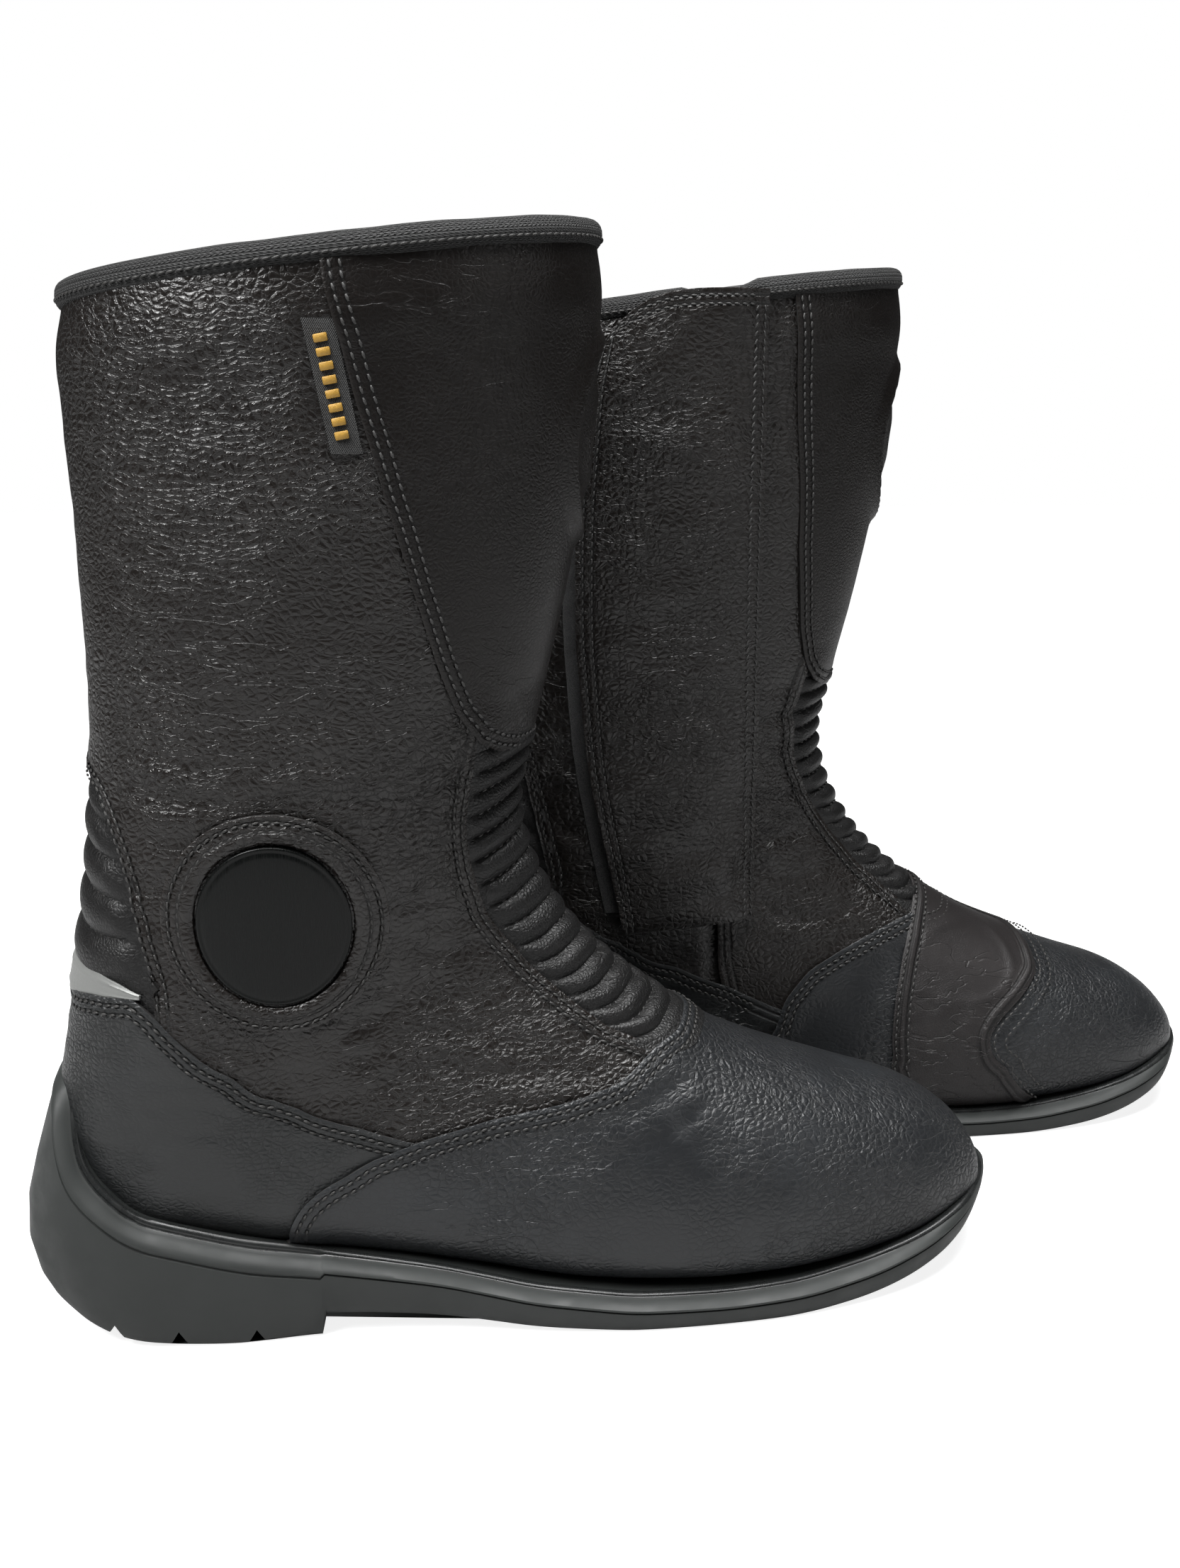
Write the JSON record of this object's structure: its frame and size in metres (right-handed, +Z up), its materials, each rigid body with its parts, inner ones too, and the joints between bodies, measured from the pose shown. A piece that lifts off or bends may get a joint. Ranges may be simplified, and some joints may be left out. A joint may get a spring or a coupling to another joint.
{
  "type": "motorcycle riding boots",
  "caption": "Pair of tall leather riding boots with rubber soles, ankle guards, ribbed flex zones and a zip under a flap on each inner side.",
  "frame": {"origin": "on the floor, under the middle of the pair's box", "axes": "+X towards the toes, +Y from the right boot to the left boot, +Z up"},
  "size_m": [0.4472, 0.216, 0.3289],
  "materials": {
    "sole_rubber": "matt black moulded rubber with a glossier bead",
    "board": "fibre insole board",
    "shank_steel": "plain spring steel",
    "foam": "fabric-faced foam",
    "grain_leather": "black full-grain leather, pebbled, satin",
    "smooth_leather": "black fine-grained leather, matt",
    "stiffener": "moulded stiffener",
    "lining": "dark knitted lining",
    "guard_plastic": "dark brushed plastic, satin",
    "reflective": "silver-grey reflective cloth",
    "knit": "knitted binding",
    "label": "woven tag with plain gold bars",
    "tape": "woven or looped tape",
    "zip_coil": "black coil zip chain",
    "zip_metal": "gunmetal",
    "patch_leather": "black matt abrasion patch"
  },
  "bodies": {
    "right_boot": {"right_outsole": "sole_rubber", "right_insole_board": "board", "right_shank": "shank_steel", "right_footbed": "foam", "right_vamp": "grain_leather", "right_heel_cover": "grain_leather", "right_shaft_panel": "grain_leather", "right_inner_rear_panel": "grain_leather", "right_inner_front_panel": "grain_leather", "right_shin_panel": "smooth_leather", "right_instep_bellows": "smooth_leather", "right_achilles_bellows": "smooth_leather", "right_toe_puff": "stiffener", "right_heel_counter": "stiffener", "right_shin_guard": "stiffener", "right_ankle_pad": "foam", "right_bootie": "lining", "right_ankle_ring": "grain_leather", "right_ankle_disc": "guard_plastic", "right_heel_reflector": "reflective", "right_collar_binding": "knit", "right_side_label": "label", "right_zip_tape": "tape", "right_zip_chain": "zip_coil", "right_loop_strip": "tape"},
    "right_slider": {"right_zip_slider": "zip_metal", "right_zip_pull": "zip_metal"},
    "right_flap": {"right_zip_flap": "grain_leather", "right_hook_strip": "tape"},
    "left_boot": {"left_outsole": "sole_rubber", "left_insole_board": "board", "left_shank": "shank_steel", "left_footbed": "foam", "left_vamp": "grain_leather", "left_heel_cover": "grain_leather", "left_shaft_panel": "grain_leather", "left_inner_rear_panel": "grain_leather", "left_inner_front_panel": "grain_leather", "left_shin_panel": "smooth_leather", "left_instep_bellows": "smooth_leather", "left_achilles_bellows": "smooth_leather", "left_toe_puff": "stiffener", "left_heel_counter": "stiffener", "left_shin_guard": "stiffener", "left_ankle_pad": "foam", "left_bootie": "lining", "left_ankle_ring": "grain_leather", "left_ankle_disc": "guard_plastic", "left_heel_reflector": "reflective", "left_collar_binding": "knit", "left_side_label": "label", "left_zip_tape": "tape", "left_zip_chain": "zip_coil", "left_loop_strip": "tape", "left_shift_patch": "patch_leather"},
    "left_slider": {"left_zip_slider": "zip_metal", "left_zip_pull": "zip_metal"},
    "left_flap": {"left_zip_flap": "grain_leather", "left_hook_strip": "tape"}
  },
  "joints": [
    {"name": "left_boot_lift", "type": "slide", "parent": "right_boot", "child": "left_boot", "axis": [0, 0, 1], "range_m": [0, 0.4]},
    {"name": "right_zip_slide", "type": "slide", "parent": "right_boot", "child": "right_slider", "axis": [0.0233, -0.087, -0.9959], "range_m": [0, 0.185]},
    {"name": "left_zip_slide", "type": "slide", "parent": "left_boot", "child": "left_slider", "axis": [0.0233, 0.087, -0.9959], "range_m": [0, 0.185]},
    {"name": "right_flap_open", "type": "hinge", "parent": "right_boot", "child": "right_flap", "pos_m": [-0.10256, -0.01085, 0.20352], "axis": [0.0242, -0.0884, -0.9958], "range_deg": [0, 95]},
    {"name": "left_flap_open", "type": "hinge", "parent": "left_boot", "child": "left_flap", "pos_m": [0.02744, 0.01085, 0.20352], "axis": [-0.0242, -0.0884, 0.9958], "range_deg": [0, 95]}
  ]
}
